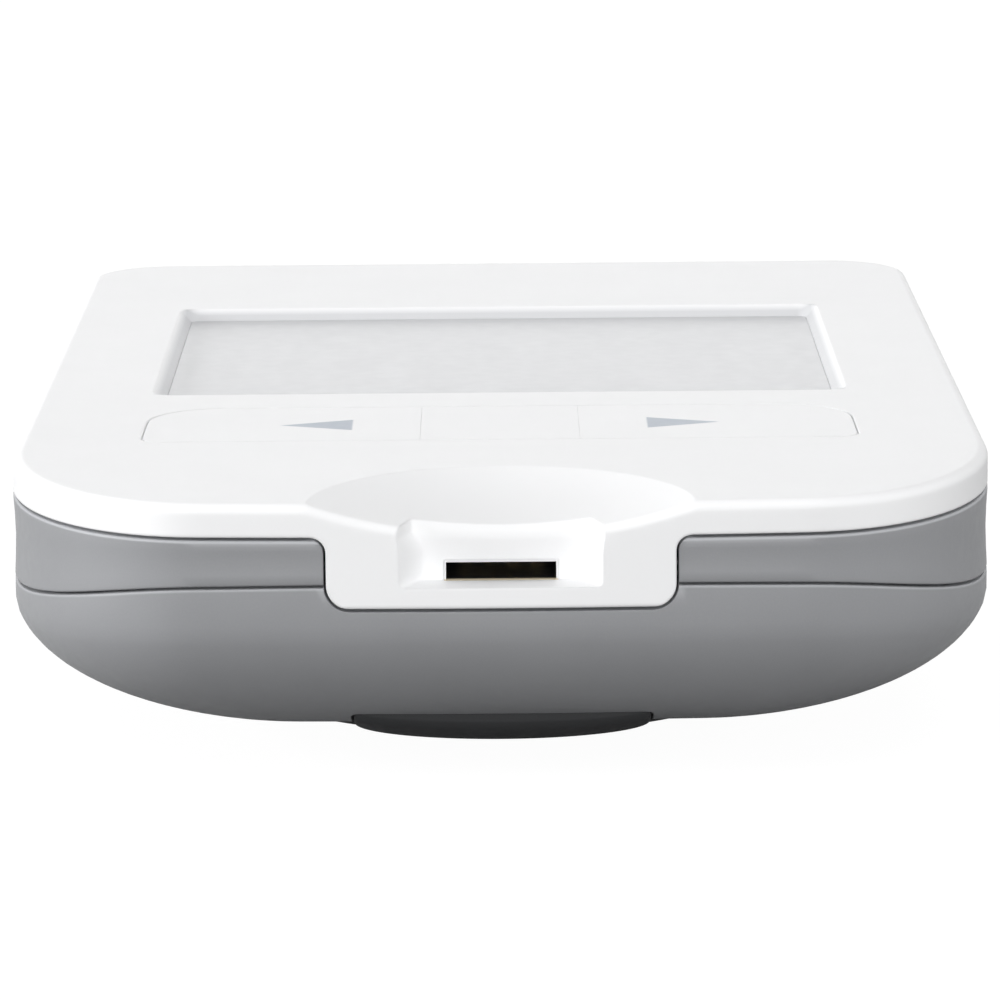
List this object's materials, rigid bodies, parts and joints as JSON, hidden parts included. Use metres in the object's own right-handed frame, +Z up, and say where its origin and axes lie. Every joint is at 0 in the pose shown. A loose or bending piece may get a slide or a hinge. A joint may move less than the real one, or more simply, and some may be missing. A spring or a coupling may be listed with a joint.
{
  "type": "blood glucose meter",
  "caption": "Palm-size blood glucose meter with slotted strip nose, finger scoop, sprung keys in a bar, recessed display window, grey bellied case and pull-off battery door.",
  "frame": {"origin": "on the table under the middle of the meter's bounding box", "axes": "+Z up from the table through the display, -Y towards the user at the strip slot, +X to the right as the display is read"},
  "size_m": [0.0586, 0.088, 0.0175],
  "materials": {
    "white_plastic": "satin moulded white",
    "grey_plastic": "satin moulded mid grey",
    "dark_grey_plastic": "satin moulded dark grey",
    "clear_window": "pale frosted window",
    "display_glass": "blank display cell",
    "ivory_plastic": "moulded ivory",
    "black_plastic": "moulded black",
    "board_green": "solder mask on glass epoxy",
    "rubber_grey": "matt rubber",
    "gold_contact": "plated spring metal",
    "steel": "plated steel",
    "silicone": "layered silicone"
  },
  "bodies": {
    "housing": {"top_cover": "white_plastic", "middle_frame": "grey_plastic", "lower_case": "grey_plastic", "display_window": "clear_window", "lcd_panel": "display_glass", "lcd_holder": "white_plastic", "display_connector": "silicone", "main_board": "board_green", "strip_connector": "ivory_plastic", "strip_contact_1": "gold_contact", "strip_contact_2": "gold_contact", "strip_contact_3": "gold_contact", "strip_contact_4": "gold_contact", "left_switch": "steel", "center_switch": "steel", "right_switch": "steel", "battery_cell_1": "steel", "battery_cell_2": "steel", "negative_contact_1": "gold_contact", "negative_contact_2": "gold_contact", "positive_contact": "gold_contact", "case_screw_1": "steel", "case_screw_2": "steel", "case_screw_3": "steel", "case_screw_4": "steel", "rubber_foot_1": "rubber_grey", "rubber_foot_2": "rubber_grey", "rubber_foot_3": "rubber_grey", "rubber_foot_4": "rubber_grey", "buzzer": "black_plastic", "processor_chip": "black_plastic", "memory_chip": "black_plastic", "clock_crystal": "steel", "capacitor_1": "black_plastic", "capacitor_2": "black_plastic"},
    "left_key": {"left_key": "white_plastic", "left_plunger": "black_plastic"},
    "center_key": {"center_key": "white_plastic", "center_plunger": "black_plastic"},
    "right_key": {"right_key": "white_plastic", "right_plunger": "black_plastic"},
    "door": {"battery_door": "dark_grey_plastic"}
  },
  "joints": [
    {"name": "left_key_press", "type": "slide", "parent": "housing", "child": "left_key", "axis": [0, 0, -1], "range_m": [0, 0.0005], "stiffness_N_per_m": 1500},
    {"name": "center_key_press", "type": "slide", "parent": "housing", "child": "center_key", "axis": [0, 0, -1], "range_m": [0, 0.0005], "stiffness_N_per_m": 1500},
    {"name": "right_key_press", "type": "slide", "parent": "housing", "child": "right_key", "axis": [0, 0, -1], "range_m": [0, 0.0005], "stiffness_N_per_m": 1500},
    {"name": "door_pull", "type": "slide", "parent": "housing", "child": "door", "axis": [0, 0, -1], "range_m": [0, 0.025]}
  ]
}
